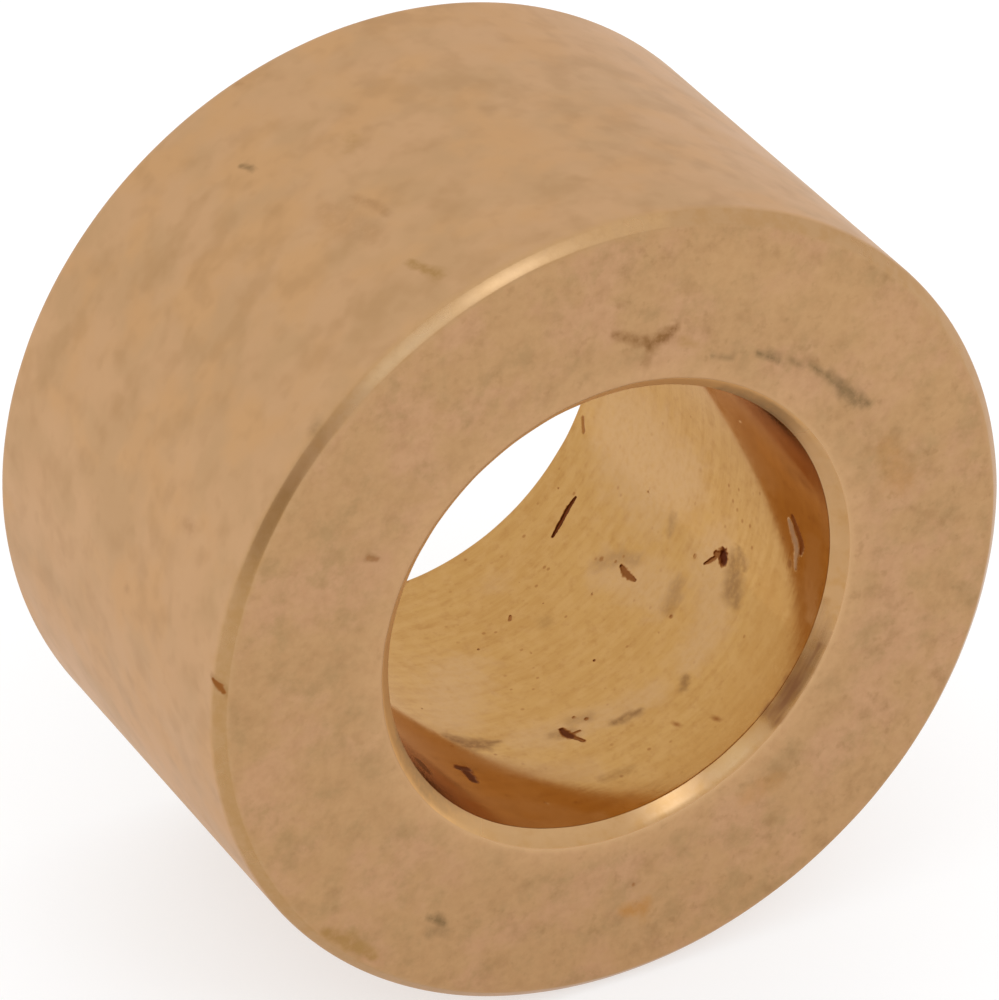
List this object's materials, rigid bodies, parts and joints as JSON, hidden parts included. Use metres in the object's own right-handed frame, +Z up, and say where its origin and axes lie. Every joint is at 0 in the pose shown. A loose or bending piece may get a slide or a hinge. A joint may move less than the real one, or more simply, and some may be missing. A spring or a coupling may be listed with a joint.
{
  "type": "sleeve bushing",
  "caption": "Plain thick-walled bronze sleeve bushing, a one-piece plain bearing with chamfered edges and a smooth running bore.",
  "frame": {"origin": "centre of the bore at half the length", "axes": "the bushing lies on its side: +Y along the bore axis from the front face to the rear, lead-in end, +Z up, +X to the right of a viewer who faces the front end"},
  "size_m": [0.0254, 0.015, 0.0254],
  "materials": {
    "bearing_bronze": "turned and bored cast bearing bronze, satin outside and faces, brighter broken edges, fine circumferential boring marks and small casting pits in the bore"
  },
  "bodies": {
    "root": {"bronze_sleeve": "bearing_bronze"}
  },
  "joints": []
}
